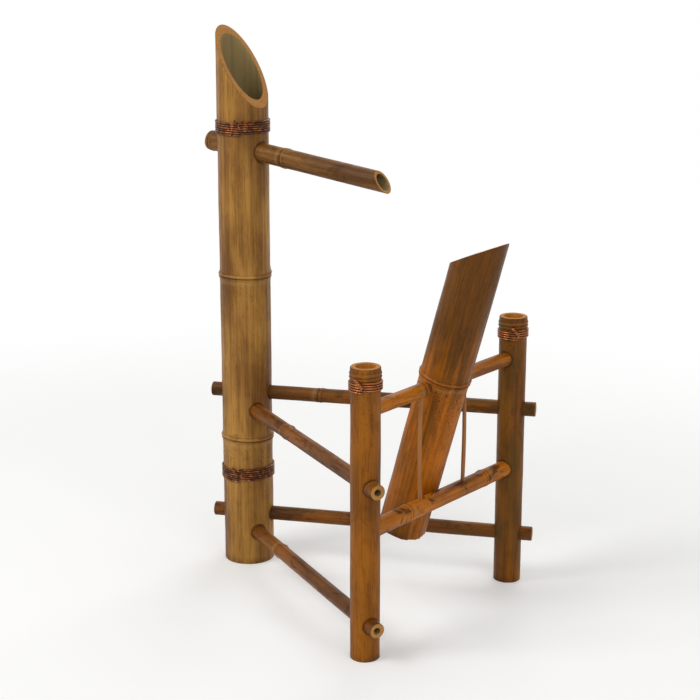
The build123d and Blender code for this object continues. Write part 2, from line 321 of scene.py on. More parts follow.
def bamboo(
    name, dark, light, smoke, cut, inner, bloom, olive=None, mottle=0.0, specks=0.3, bands=0.8,
    above=0.0,
):
    """Smoked bamboo: streaked skin with scars at its nodes, fibrous sawn ends, a dull inside."""
    material, graph = new_material(name)
    grain = graph.attribute("grain", "Vector")
    zone, depth, from_node, over, knot, to_end, to_hole = (
        graph.attribute(each)
        for each in ("zone", "depth", "from_node", "node_side", "knot", "to_end", "to_hole")
    )
    under = over * -1.0

    clouds = graph.noise(grain, 30, 11, detail=3)
    stripes = graph.noise(grain, 190, 5)
    fibres = graph.noise(grain, 1100, 13, detail=4, roughness=0.65)
    lines = graph.noise(grain, 2500, 17, roughness=0.6)
    dash = graph.noise(grain, 480, 42).rises(0.56, 0.68)
    grit = graph.noise(grain, 900, 620, detail=1)
    blots = graph.noise(grain, 85, 40, detail=4, distortion=0.9, roughness=0.6)
    where_grit = graph.noise(grain, 45, 24)

    # Where each mark lies, from 0 to 1
    level = 0.5 + (clouds - 0.5) * 1.7 + (stripes - 0.5) * bands
    if above:
        level = level - over.rises(-1.0, 1.0) * (from_node.rises(0.0, 160 * MM) * 2 + 0.5) * above
    blot = blots.rises(0.52, 0.62)
    below = from_node.rises(75 * MM, 4 * MM) * under.rises(0.0, 1.0)
    dot = where_grit.rises(0.4, 0.7) * 0.7 + below * where_grit.rises(0.22, 0.45)
    dot = grit.rises(0.57, 0.65) * dot
    upper = over.rises(0.0, 1.0)
    dusted = from_node.near(5.2 * MM, 4.2 * MM) * under.rises(0.2, 0.9) * (0.1 + stripes * 0.5)
    scar = from_node.near(0.2 * MM, 1 * MM) + from_node.near(4.2 * MM, 0.9 * MM) * upper * 0.6
    crown = from_node.near(1.9 * MM, 1.6 * MM) * upper
    stain = to_end.rises(10 * MM, 0.0) * blots.rises(0.35, 0.6)

    # The skin, one coat over another
    skin = graph.mix(dark, light, level.rises(0.1, 0.95))
    if olive is not None:
        patches = graph.noise(grain, 24, 9, detail=3)
        skin = graph.mix(skin, olive, patches.rises(0.45, 0.68) * 0.75)
    coats = (
        (smoke, dash * 0.26),
        (smoke, fibres.rises(0.5, 0.7) * 0.32),
        (light, fibres.rises(0.48, 0.25) * 0.3),
        (smoke, lines.rises(0.52, 0.68) * 0.26),
        (light, lines.rises(0.47, 0.32) * 0.22),
        (smoke, blot * mottle),
        (smoke, dot * specks),
        (bloom, dusted * 0.5),
        (smoke, scar * (0.36 + blots * 0.5)),
        (light, crown * 0.45),
        (smoke, knot.near(0.45, 0.3) * blots.rises(0.38, 0.56) * 0.6),
        (dark, knot.rises(0.6, 0.9) * 0.35),
        (smoke, stain * 0.45),
        # Painted shade: a dark ring in the smoke colour round each drilled hole, where a pole, spout or pin enters
        # it
        (smoke, to_hole.rises(2.6 * MM, 0.2 * MM) * (0.35 + blots * 0.6)),
    )
    for paint, share in coats:
        skin = graph.mix(skin, paint, share)

    # The sawn ends, with the dark ends of their fibres, and the inside
    bundles = graph.noise(grain, 1500, 90, detail=1).rises(0.5, 0.66)
    sawn = graph.mix(graph.mix(cut, smoke, 0.55), cut, depth.rises(0.1 * MM, 1.1 * MM))
    sawn = graph.mix(sawn, smoke, bundles * 0.42)
    sawn = graph.mix(sawn, smoke, clouds.rises(0.5, 0.8) * 0.35)
    lining = graph.mix(inner, smoke, stripes.rises(0.45, 0.8) * 0.3 + clouds.rises(0.5, 0.8) * 0.3)

    is_cut = zone.rises(0.4, 0.6)
    is_inner = zone.rises(1.4, 1.6)
    relief = fibres * 0.4 + lines * 0.3 - dash * 0.3 - dot * 0.6 + is_cut * bundles
    surface(graph, {
        "Base Color": graph.mix(graph.mix(skin, sawn, is_cut), lining, is_inner),
        "Roughness": 0.33 + fibres * 0.16 + blot * 0.1 + dash * 0.08 + is_cut * 0.32,
        "Normal": graph.bump(relief, 0.35, 0.4 * MM), "Specular IOR Level": 0.17,
    })
    return material


def wire_metal(name, bright, dull, tarnish):
    """Copper wire, browned in patches."""
    material, graph = new_material(name)
    where = graph.place()
    worn = graph.noise(where, 260, 260, detail=3).rises(0.5 - tarnish, 0.75 - tarnish)
    scratches = graph.noise(where, 2600, 2600, detail=1)
    surface(graph, {
        "Base Color": graph.mix(bright, dull, worn), "Roughness": 0.26 + worn * 0.24,
        "Metallic": 1.0 - worn * 0.25, "Normal": graph.bump(scratches, 0.2, 0.1 * MM),
    })
    return material


def split_wood(name, pale, smoke):
    """A split stick: pale, with long dark fibres."""
    material, graph = new_material(name)
    grain = graph.attribute("grain", "Vector")
    fibres = graph.noise(grain, 1500, 20)
    patches = graph.noise(grain, 120, 24, detail=3)
    colour = graph.mix(pale, smoke, fibres.rises(0.45, 0.75) * 0.45)
    colour = graph.mix(colour, smoke, patches.rises(0.48, 0.72) * 0.4)
    surface(graph, {
        "Base Color": colour, "Roughness": 0.55 + fibres * 0.2,
        "Normal": graph.bump(fibres, 0.5, 0.3 * MM),
    })
    return material


def plain_finish(name, colour, roughness, metallic, per_metre):
    """A plain piece with a faint unevenness."""
    material, graph = new_material(name)
    uneven = graph.noise(graph.place(), per_metre, per_metre)
    darker = [share * 0.7 for share in colour]
    surface(graph, {
        "Base Color": graph.mix(colour, darker, uneven.rises(0.4, 0.7)),
        "Roughness": roughness + uneven * 0.15, "Metallic": metallic,
    })
    return material


# Geometry node trees

def new_tree(name, inputs):
    """A geometry tree with named inputs, and the Signal of each."""
    tree = bpy.data.node_groups.new(name, "GeometryNodeTree")
    for title, kind, default in (("Geometry", "Geometry", None), *inputs):
        socket = tree.interface.new_socket(title, in_out="INPUT", socket_type="NodeSocket" + kind)
        if default is not None:
            socket.default_value = default
    tree.interface.new_socket("Geometry", in_out="OUTPUT", socket_type="NodeSocketGeometry")
    graph = Graph(tree)
    entry = tree.nodes.new("NodeGroupInput")
    return tree, graph, {out.name: Signal(graph, out) for out in entry.outputs if out.name}


def end_tree(graph, geometry, given):
    """Every tree ends in real geometry that has its material."""
    real = graph.add("GeometryNodeRealizeInstances", {}, {"Geometry": geometry})
    done = graph.add(
        "GeometryNodeSetMaterial", {}, {"Geometry": real, "Material": given["Material"]}
    )
    leave = graph.tree.nodes.new("NodeGroupOutput")
    graph.tree.links.new(done.socket, leave.inputs[0])


def named(graph, name, kind):
    return graph.add("GeometryNodeInputNamedAttribute", {"data_type": kind}, {"Name": name})


def grown_tree():
    """Draws a turned culm in unevenly, as one that grew: broad hollows and lengthwise flutes."""
    tree, graph, given = new_tree("Grown culm", (
        ("Girth", "Float", 0.5 * MM), ("Flutes", "Float", 1 * MM), ("Seed", "Float", 0.0),
        ("Material", "Material", None),
    ))
    shift = graph.add("ShaderNodeCombineXYZ", {}, dict.fromkeys("XYZ", given["Seed"]))
    grain = graph.vector("ADD", named(graph, "grain", "FLOAT_VECTOR"), shift)
    girth = graph.noise(grain, 38, 16).rises(0.25, 0.75)
    flute = graph.noise(grain, 150, 5, detail=1).rises(0.3, 0.7)
    inwards = girth * given["Girth"] + flute * given["Flutes"] * named(graph, "fluted", "FLOAT")
    offset = graph.add("ShaderNodeVectorMath", {"operation": "SCALE"}, {
        0: named(graph, "out", "FLOAT_VECTOR"), "Scale": inwards * -1.0,
    })
    moved = graph.add(
        "GeometryNodeSetPosition", {}, {"Geometry": given["Geometry"], "Offset": offset}
    )
    end_tree(graph, moved, given)
    return tree


def wound_tree():
    """Winds a wire round the z axis in one helix, and ends it in a twisted pair that points up."""
    tree, graph, given = new_tree("Wound wire", (
        ("Turns", "Float", 6.0), ("Pitch", "Float", 2.4 * MM), ("Coil radius", "Float", 30 * MM),
        ("Wire radius", "Float", 1 * MM), ("Twist length", "Float", 11 * MM),
        ("Twist turns", "Float", 2.6), ("Material", "Material", None),
    ))
    per_turn, per_twist, sides = 64, 20, 10
    unevenness, pair_gap, pair_lean = 0.5 * MM, 2.2, math.radians(38)
    height = given["Turns"] * given["Pitch"]

    def helix(steps, turns, radius, rise):
        return graph.add("GeometryNodeCurveSpiral", {}, {
            "Resolution": steps, "Rotations": turns, "Start Radius": radius, "End Radius": radius,
            "Height": rise,
        })

    coil = helix(per_turn, given["Turns"], given["Coil radius"], height)
    place = graph.add("GeometryNodeInputPosition")
    slack = graph.add("ShaderNodeTexNoise", {}, {"Vector": place, "Scale": 90.0}, 1)
    wander = graph.vector("SUBTRACT", slack, (0.5, 0.5, 0.5))
    shift = graph.vector("MULTIPLY", wander, (0.0, 0.0, unevenness))
    coil = graph.add("GeometryNodeSetPosition", {}, {"Geometry": coil, "Offset": shift})
    strand = helix(per_twist, given["Twist turns"], given["Wire radius"], given["Twist length"])
    twin = graph.add("GeometryNodeTransform", {}, {"Geometry": strand, "Rotation": (0, 0, math.pi)})
    beside = graph.add("ShaderNodeCombineXYZ", {}, {
        "X": given["Coil radius"] + given["Wire radius"] * pair_gap, "Z": height * 0.5,
    })
    pair = graph.add("GeometryNodeTransform", {}, {
        "Geometry": graph.joined(strand, twin), "Translation": beside,
        "Rotation": (pair_lean, 0.0, 0.0),
    })
    ring = graph.add("GeometryNodeCurvePrimitiveCircle", {}, {
        "Resolution": sides, "Radius": given["Wire radius"],
    })
    mesh = graph.add("GeometryNodeCurveToMesh", {}, {
        "Curve": graph.joined(coil, pair), "Profile Curve": ring, "Fill Caps": True,
    })
    end_tree(graph, graph.add("GeometryNodeSetShadeSmooth", {}, {"Geometry": mesh}), given)
    return tree


def bake(piece, tree, values):
    """Runs a tree on a piece with the values given by input name, and keeps the plain mesh."""
    modifier = piece.modifiers.new(tree.name, "NODES")
    modifier.node_group = tree
    for item in tree.interface.items_tree:
        if item.in_out == "INPUT" and item.name in values:
            modifier[item.identifier] = values[item.name]
    keep_evaluated(piece)


def keep_evaluated(piece):
    """Keeps what a piece's modifiers make of it, as its plain mesh."""
    graph = bpy.context.evaluated_depsgraph_get()
    graph.update()
    mesh = bpy.data.meshes.new_from_object(piece.evaluated_get(graph))
    old = piece.data
    piece.modifiers.clear()
    piece.data = mesh
    bpy.data.meshes.remove(old)
    mesh.name = piece.name


def new_object(name, data):
    made = bpy.data.objects.new(name, data)
    bpy.context.scene.collection.objects.link(made)
    return made


def coat(mesh, material):
    mesh.materials.clear()
    mesh.materials.append(material)


def smooth(mesh):
    mesh.shade_smooth()
    mesh.set_sharp_from_angle(angle=SHARP)


# Culms

class Line:
    """A culm's own directions: where it starts, the way it grows, and the way its front faces."""

    def __init__(self, start, along, front):
        self.start = Vector(start)
        self.along = Vector(along).normalized()
        self.front = Vector(front).normalized()
        self.side = self.along.cross(self.front)

    def rows(self):
        return np.array([self.front, self.side, self.along])

    def to_world(self, local):
        return np.array(self.start) + local @ self.rows()

    def to_local(self, world):
        return (world - np.array(self.start)) @ self.rows().T


def node_shape(offset):
    """Height of a node's ridge at an offset along the culm: scar, groove, then a round crown."""
    def hump(place, width):
        return math.exp(-((offset - place) / width) ** 2)

    return (
        0.42 * hump(0.0, 5.2 * MM) + 0.5 * hump(-1.5 * MM, 0.6 * MM)
        - 0.4 * hump(-0.2 * MM, 0.7 * MM) + 0.7 * hump(1.9 * MM, 1.5 * MM)
    )


class Culm:
    """A culm's radius along its length, and the rows of points that draw it."""

    def __init__(
        self, reach, low, high, nodes=(), ridge=0.0, step=7 * MM, wave=0.5 * MM, faint=(),
        knotted=True,
    ):
        self.reach = reach
        self.low = low
        self.high = high
        self.nodes = nodes
        self.ridge = ridge
        self.step = step
        self.wave = wave
        self.faint = faint
        self.knotted = float(knotted)
        self.knot_width = 2 * MM + low * 0.09
        self.knot_height = 0.4 * MM + low * 0.02

    def wander(self, turn, s):
        """How far the rings of a node stray up or down, at an angle round the culm."""
        straight_end, fade = 9 * MM, 13 * MM
        drift = np.sin(turn + 40 * self.reach) + 0.5 * np.sin(2 * turn + 90 * self.reach)
        drift = self.wave * (drift + 0.3 * np.sin(3 * turn + 1))
        clear = np.clip(np.minimum(s, self.reach - s) / straight_end, 0, 1)
        near = sum(np.exp(-((s - node) / fade) ** 2) for node in self.nodes)
        return drift * clear * np.minimum(near, 1)

    def knot(self, turn, s):
        """1 in the middle of a cut branch's knot, just over a node, and 0 away from it."""
        above_node, apart = 4.2 * MM, 2.4
        total = 0 * turn * s
        for index, node in enumerate(self.nodes):
            around = (turn - apart * index - 50 * self.reach + math.pi) % (2 * math.pi) - math.pi
            away = np.hypot(around * self.plain(node), (s - node - above_node) * 0.9)
            total = total + self.strength(node) * np.exp(-((away / self.knot_width) ** 4))
        return total * self.knotted

    def strength(self, node):
        """How much of its ridge a node has."""
        return 0.35 if node in self.faint else 1.0

    def plain(self, s):
        """The radius between nodes."""
        return self.low + (self.high - self.low) * s / self.reach

    def outer(self, s):
        """The radius with the nodes' ridges."""
        proud = sum(self.strength(node) * node_shape(s - node) for node in self.nodes)
        return self.plain(s) + self.ridge * proud

    def side(self, edge):
        """Rows up the side, close together at the nodes, with a soft edge at either end."""
        places = set(np.linspace(edge, self.reach - edge, max(2, round(self.reach / self.step))))
        for node in self.nodes:
            places |= {node + k * 0.5 * MM for k in range(-16, 17)}
        places = sorted(s for s in places if edge <= s <= self.reach - edge)
        rows = [(self.outer(edge) - edge, 0.0, 1.0)]
        rows += [(self.outer(s), s, 1.0) for s in places]
        rows += [(self.outer(self.reach - edge) - edge, self.reach, 1.0)]
        return rows


def closed_foot(culm, edge):
    """Rows across a closed end and up the side."""
    return [(0.0, 0.0, 0.0), (culm.low * 0.5, 0.0, 0.0), *culm.side(edge)]


def hollow_end(culm, wall, depth, at_top, edge):
    """Rows across a sawn end and down the inside to a floor, as the profile runs."""
    end = culm.reach if at_top else 0.0
    inwards = -1 if at_top else 1
    floor = end + inwards * depth
    ring_gap = 9 * MM
    count = max(2, round(depth / ring_gap))
    rows = [(culm.plain(end) - wall + edge * 0.6, end, 0.5)]
    for k in range(count + 1):
        s = end + inwards * (edge * 0.6 + (depth - edge * 1.6) * k / count)
        rows.append((culm.plain(s) - wall, s, 0.0))
    bore = culm.plain(floor) - wall
    rows += [(bore - edge * 2, floor, 0.0), (bore * 0.5, floor, 0.0), (0.0, floor, 0.0)]
    return rows if at_top else rows[::-1]


def rounded_end(reach, radius, rounding, steps=6):
    """Rows over a rounded edge and across a closed end."""
    rows = []
    for k in range(steps + 1):
        turn = math.pi / 2 * k / steps
        rows.append((
            radius - rounding + rounding * math.cos(turn),
            reach - rounding + rounding * math.sin(turn), 1.0,
        ))
    return rows + [(radius * 0.3, reach, 0.0), (0.0, reach, 0.0)]


def slant(reach, radius, drop, share, forward=1):
    """Where the rows begin to lean towards a slanted cut, and the cut's height at a front place."""
    return reach - drop * share, lambda x: reach - drop / 2 - forward * x * drop / (2 * radius)


def revolve(name, line, rows, segments, cut=None, fluted=None, culm=None):
    """A closed mesh from the rows of a profile, turned round the line, with its growth attributes.

    cut is where the stretch begins and a function from the front coordinate to the cut's height."""
    turn = np.arange(segments) * 2 * math.pi / segments
    points, outs, shares = [], [], []
    rings = []
    reach = max(row[1] for row in rows)
    for radius, s, give in rows:
        count = segments if radius > 0 else 1
        angles = turn[:count]
        if culm is not None and give > 0:
            radius = radius + culm.knot(angles, s) * culm.knot_height
        x, y = radius * np.cos(angles), radius * np.sin(angles)
        heights = np.full(count, s)
        if culm is not None and give > 0:
            heights = heights + culm.wander(angles, s)
        if cut is not None and s > cut[0]:
            heights = cut[0] + (heights - cut[0]) * (cut[1](x) - cut[0]) / (reach - cut[0])
        rings.append(range(len(points), len(points) + count))
        points.extend(np.stack([x, y, heights], 1))
        outs.extend(np.stack([np.cos(angles), np.sin(angles), 0 * angles], 1) * give)
        shares.extend([fluted(s) if fluted else 0.0] * count)
    faces = []
    for low, high in zip(rings, rings[1:]):
        for j in range(segments):
            k = (j + 1) % segments
            if len(low) == 1:
                faces.append((low[0], high[k], high[j]))
            elif len(high) == 1:
                faces.append((low[j], low[k], high[0]))
            else:
                faces.append((low[j], low[k], high[k], high[j]))
    local = np.array(points)
    mesh = bpy.data.meshes.new(name)
    mesh.from_pydata([tuple(p) for p in line.to_world(local)], [], faces)
    write_attribute(mesh, "out", "FLOAT_VECTOR", np.array(outs) @ line.rows())
    write_attribute(mesh, "grain", "FLOAT_VECTOR", local)
    write_attribute(mesh, "fluted", "FLOAT", np.array(shares))
    return new_object(name, mesh)


def write_attribute(mesh, name, kind, values, domain="POINT"):
    """Writes an attribute anew, whatever the mesh had under its name."""
    if name in mesh.attributes:
        mesh.attributes.remove(mesh.attributes[name])
    made = mesh.attributes.new(name, kind, domain)
    field = "vector" if kind == "FLOAT_VECTOR" else "value"
    made.data.foreach_set(field, np.asarray(values, np.float32).ravel())


def read_vectors(items, field):
    """A row of three numbers for each vertex or face of a mesh."""
    flat = np.zeros(len(items) * 3, np.float32)
    items.foreach_get(field, flat)
    return flat.reshape(-1, 3).astype(float)


def drill(piece, holes):
    """Cuts round holes, each given by a point, a direction, a radius and a length."""
    cutters = []
    for point, direction, radius, reach in holes:
        direction = Vector(direction).normalized()
        rows = [(0.0, 0.0, 0), (radius, 0.0, 0), (radius, reach, 0), (0.0, reach, 0)]
        line = Line(point, direction, direction.orthogonal())
        cutter = revolve("cutter", line, rows, segments=40)
        modifier = piece.modifiers.new("hole", "BOOLEAN")
        modifier.operation = "DIFFERENCE"
        modifier.solver = "EXACT"
        modifier.object = cutter
        cutters.append(cutter)
    keep_evaluated(piece)
    for cutter in cutters:
        mesh = cutter.data
        bpy.data.objects.remove(cutter)
        bpy.data.meshes.remove(mesh)


def mark_points(mesh, line, culm, holes, offset):
    """Writes where each point lies on the culm: along its grain, and from ends, nodes and holes."""
    far_off = 1.0
    world = read_vectors(mesh.vertices, "co")
    local = line.to_local(world)
    s = local[:, 2]
    radius = np.hypot(local[:, 0], local[:, 1])
    turn = np.arctan2(local[:, 1], local[:, 0])
    straight = s - culm.wander(turn, s)
    past_node = np.full(len(s), far_off)
    for node in culm.nodes:
        nearer = abs(straight - node) < abs(past_node)
        past_node = np.where(nearer, straight - node, past_node)
    to_hole = np.full(len(s), far_off)
    for point, direction, hole_radius, reach in holes:
        axis = np.array(Vector(direction).normalized())
        away = world - np.array(point)
        on_axis = away @ axis
        gap = np.linalg.norm(away - np.outer(on_axis, axis), axis=1) - hole_radius
        beside = (on_axis > 0) & (on_axis < reach)
        to_hole = np.minimum(to_hole, np.where(beside, gap, far_off))
    write_attribute(mesh, "grain", "FLOAT_VECTOR", local + offset)
    marks = {
        "depth": np.clip(culm.plain(s) - radius, 0, 1),
        "to_end": np.minimum(s, culm.reach - s),
        "from_node": abs(past_node),
        "node_side": np.clip(past_node / (1 * MM), -1, 1),
        "knot": culm.knot(turn, straight),
        "to_hole": np.clip(to_hole, 0, 1),
    }
    for name, values in marks.items():
        write_attribute(mesh, name, "FLOAT", values)


def mark_faces(mesh, line, culm, wall, sink, cut):
    """Writes each face's zone: 0 on the skin, 1 on a sawn end and 2 inside."""
    faces_out, faces_in, faces_cut = 0.35, -0.6, 0.92
    normals = read_vectors(mesh.polygons, "normal") @ line.rows().T
    centres = line.to_local(read_vectors(mesh.polygons, "center"))
    radius = np.hypot(centres[:, 0], centres[:, 1])
    outwards = (normals[:, 0] * centres[:, 0] + normals[:, 1] * centres[:, 1]) / (radius + 1e-9)
    proud = radius - culm.plain(centres[:, 2])
    skin = (outwards > faces_out) & (proud > -sink)
    inner = (outwards < faces_in) | (proud < -wall - 0.4 * MM)
    zone = np.where(skin, 0, np.where(inner, 2, 1))
    if cut is not None:
        slope = (cut[1](1 * MM) - cut[1](0.0)) / (1 * MM)
        facing = (normals[:, 2] - slope * normals[:, 0]) / math.hypot(1, slope)
        zone[facing > faces_cut] = 1
    write_attribute(mesh, "zone", "FLOAT", zone, "FACE")


def finish_culm(
    piece, line, culm, wall, material, holes=(), offset=0.0, sink=0.9 * MM, cut=None
):
    """Marks a culm for its material, drops what only its growing needed, and smooths it.

    offset moves the material's pattern, and sink is how far below the plain radius the skin may
    lie before it counts as sawn."""
    mesh = piece.data
    mark_points(mesh, line, culm, holes, offset)
    mark_faces(mesh, line, culm, wall, sink, cut)
    for name in ("out", "fluted"):
        mesh.attributes.remove(mesh.attributes[name])
    coat(mesh, material)
    smooth(mesh)


def dress(piece, node, slot, body="frame"):
    """Puts a finished piece in the place of the node of the frame that it stands for."""
    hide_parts(node)
    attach(piece, body)


def pole_axis(side, level):
    """The start, direction and length of a cross pole, from its own box and its post's foot."""
    low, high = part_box(f"{side}_{level}_pole")
    foot = FEET[f"{side}_post_foot"]
    run = Vector((foot.x, foot.y, 0)).normalized()
    radius = (high.z - low.z) / 2
    back = (abs(low.x) - radius * abs(run.y)) / run.x
    front = (high.x - radius * abs(run.y)) / run.x
    height = (low.z + high.z) / 2
    return Vector((0, 0, height)) - run * back, run, back + front, radius


def spout_line(sizes):
    """The spout's line, its reach behind the tall post's axis and before it, and its radius."""
    low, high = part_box("spout")
    slope = sizes.spout_slope
    along = Vector((math.cos(slope), 0, -math.sin(slope)))
    upward = Vector((math.sin(slope), 0, math.cos(slope)))
    radius = (high.y - low.y) / 2
    back = (-low.x - radius * math.sin(slope)) / math.cos(slope)
    front = (high.x + radius * math.sin(slope)) / math.cos(slope)
    height = high.z - radius * math.cos(slope) - back * math.sin(slope)
    return Line(Vector((0, 0, height)) - along * back, along, upward), back, front, radius


# Pieces, by operator

class ScarerOperator:
    """What the operators share."""

    bl_options = {"REGISTER", "UNDO"}

    def execute(self, context):
        self.make(context.scene.scarer_sizes, context.scene.scarer_colours)
        return {"FINISHED"}


def culm_colours(colours, kind):
    """The colours that one kind of culm takes from the user's list."""
    shared = {name: getattr(colours, name) for name in ("smoke", "cut", "inner", "bloom")}
    return shared | {each: getattr(colours, f"{kind}_{each}") for each in ("dark", "light")}


def grow(piece, tree, sizes, seed, girth=1.0, flutes=0.0):
    """Makes a turned culm uneven; girth and flutes are shares of the user's sizes."""
    bake(piece, tree, {
        "Girth": sizes.girth_noise * girth, "Flutes": sizes.flute_noise * flutes, "Seed": seed,
    })


class SCARER_OT_tall_post(ScarerOperator, bpy.types.Operator):
    """Makes the tall post: open at its slanted top, drilled for the spout and four poles"""

    bl_idname = "scarer.tall_post"
    bl_label = "Tall post"

    def make(self, sizes, colours):
        low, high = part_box("tall_post")
        radius = (high.y - low.y) / 2 - sizes.tall_ridge
        height = high.z - low.z
        nodes = (sizes.tall_low_node, sizes.tall_high_node)
        culm = Culm(height, radius, radius, nodes, sizes.tall_ridge, wave=0.8 * MM)
        line = Line(FEET["tall_post_foot"], UP, (1, 0, 0))
        rows = closed_foot(culm, sizes.edge)
        rows += hollow_end(culm, sizes.tall_wall, height - sizes.tall_floor, True, sizes.edge)
        cut = slant(height, radius, sizes.tall_cut, 1.35)
        piece = revolve("tall_post_culm", line, rows, segments=112, cut=cut, culm=culm)
        grow(piece, grown_tree(), sizes, seed=1.3)
        holes = []
        for side in SIDES:
            for level in LEVELS:
                start, along, _, thick = pole_axis(side, level)
                holes.append((start, along, thick + sizes.hole_gap, radius * 3))
        spout, back, _, thick = spout_line(sizes)
        holes.append((spout.start, spout.along, thick + sizes.hole_gap, back + radius * 2))
        drill(piece, holes)
        material = bamboo("tall_bamboo", **culm_colours(colours, "tall"), mottle=0.12, specks=0.35)
        finish_culm(piece, line, culm, sizes.tall_wall, material, holes, offset=0.11, cut=cut)
        dress(piece, "tall_post", "post_bamboo")


class SCARER_OT_short_posts(ScarerOperator, bpy.types.Operator):
    """Makes the two short posts, each with a cup in its top and holes for poles, arm and rail"""

    bl_idname = "scarer.short_posts"
    bl_label = "Short posts"

    def make(self, sizes, colours):
        tree = grown_tree()
        for index, side in enumerate(SIDES):
            node = f"{side}_post"
            low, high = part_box(node)
            radius = (high.x - low.x) / 2 - sizes.short_ridge
            height = high.z - low.z
            nodes = (height - sizes.short_scar_drop, height - sizes.short_node_drop)
            culm = Culm(
                height, radius, radius, nodes, sizes.short_ridge, wave=0.7 * MM, faint=nodes[:1],
                knotted=False,
            )
            foot = FEET[f"{side}_post_foot"]
            line = Line(foot, UP, (1, 0, 0))
            rows = closed_foot(culm, sizes.edge)
            rows += hollow_end(culm, sizes.short_wall, sizes.short_cup, True, sizes.edge)
            piece = revolve(f"{node}_culm", line, rows, segments=80, culm=culm)
            grow(piece, tree, sizes, seed=2.7 + index, girth=0.8)
            holes = []
            for level in LEVELS:
                start, along, reach, thick = pole_axis(side, level)
                holes.append((start + along * reach / 2, along, thick + sizes.hole_gap, reach))
            inward = Vector((0, -math.copysign(1, foot.y), 0))
            for part in (f"{side}_arm", "lower_rail"):
                thick = span(part).z / 2 + sizes.hole_gap
                holes.append(((foot.x, foot.y, middle(part).z), inward, thick, radius * 2))
            drill(piece, holes)
            olive = colours.olive if side == "right" else None
            palette = culm_colours(colours, "post") | {"inner": colours.cup}
            material = bamboo(f"{side}_post_bamboo", **palette, olive=olive, mottle=0.2, specks=0.4)
            offset = 0.31 + index * 0.23
            finish_culm(piece, line, culm, sizes.short_wall, material, holes, offset)
            dress(piece, node, "post_bamboo")


class SCARER_OT_cross_poles(ScarerOperator, bpy.types.Operator):
    """Makes the four thin poles that run through the tall post and out through the short posts"""

    bl_idname = "scarer.cross_poles"
    bl_label = "Cross poles"

    def make(self, sizes, colours):
        tree = grown_tree()
        node_shares = {
            "left_lower": (0.36,), "left_upper": (0.42, 0.965),
            "right_lower": (0.62,), "right_upper": (0.34, 0.74),
        }
        for index, (key, shares) in enumerate(node_shares.items()):
            side, level = key.split("_")
            start, along, reach, radius = pole_axis(side, level)
            nodes = tuple(reach * share for share in shares)
            culm = Culm(reach, radius, radius, nodes, sizes.pole_ridge)
            line = Line(start, along, UP)
            wall = radius - sizes.pole_hollow
            depth = sizes.pole_hollow_depth
            rows = hollow_end(culm, wall, depth, False, sizes.edge)
            rows += culm.side(sizes.edge)
            rows += hollow_end(culm, wall, depth, True, sizes.edge)
            piece = revolve(f"{key}_pole_culm", line, rows, segments=48, culm=culm)
            grow(piece, tree, sizes, seed=5.1 + index, girth=0.6)
            olive = colours.olive if side == "right" else None
            material = bamboo(
                f"{key}_pole_bamboo", **culm_colours(colours, "pole"), olive=olive,
                mottle=0.5, specks=0.4,
            )
            finish_culm(piece, line, culm, wall, material, offset=0.77 + index * 0.19)
            dress(piece, f"{key}_pole", "pole_bamboo")


class SCARER_OT_rails(ScarerOperator, bpy.types.Operator):
    """Makes the two arms that carry the pivot and the lower rail that the tube knocks against"""

    bl_idname = "scarer.rails"
    bl_label = "Arms and rail"

    def make(self, sizes, colours):
        tree = grown_tree()
        mottles = {"left_arm": 0.25, "right_arm": 0.45, "lower_rail": 0.8}
        for index, (node, mottle) in enumerate(mottles.items()):
            low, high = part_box(node)
            radius = (high.z - low.z) / 2
            reach = high.y - low.y
            centre = middle(node)
            is_arm = "arm" in node
            along = Vector((0, -math.copysign(1, centre.y) if is_arm else -1, 0))
            line = Line(centre - along * reach / 2, along, UP)
            if is_arm:
                nodes = faint = (reach - 7.5 * MM,)
                rounding = 3.2 * MM
            else:
                nodes, faint = (reach * 0.21, reach * 0.73), ()
                rounding = 1.2 * MM
            culm = Culm(
                reach, radius, radius, nodes, sizes.rail_ridge, faint=faint, knotted=not is_arm
            )
            rows = [row for row in closed_foot(culm, sizes.edge) if row[1] < reach - rounding]
            rows += rounded_end(reach, radius, rounding)
            piece = revolve(f"{node}_culm", line, rows, segments=48, culm=culm)
            grow(piece, tree, sizes, seed=9.4 + index, girth=0.6)
            material = bamboo(
                f"{node}_bamboo", **culm_colours(colours, "rail"), mottle=mottle, specks=0.3
            )
            finish_culm(piece, line, culm, radius, material, offset=0.15 + index * 0.37)
            dress(piece, node, "rail_bamboo")


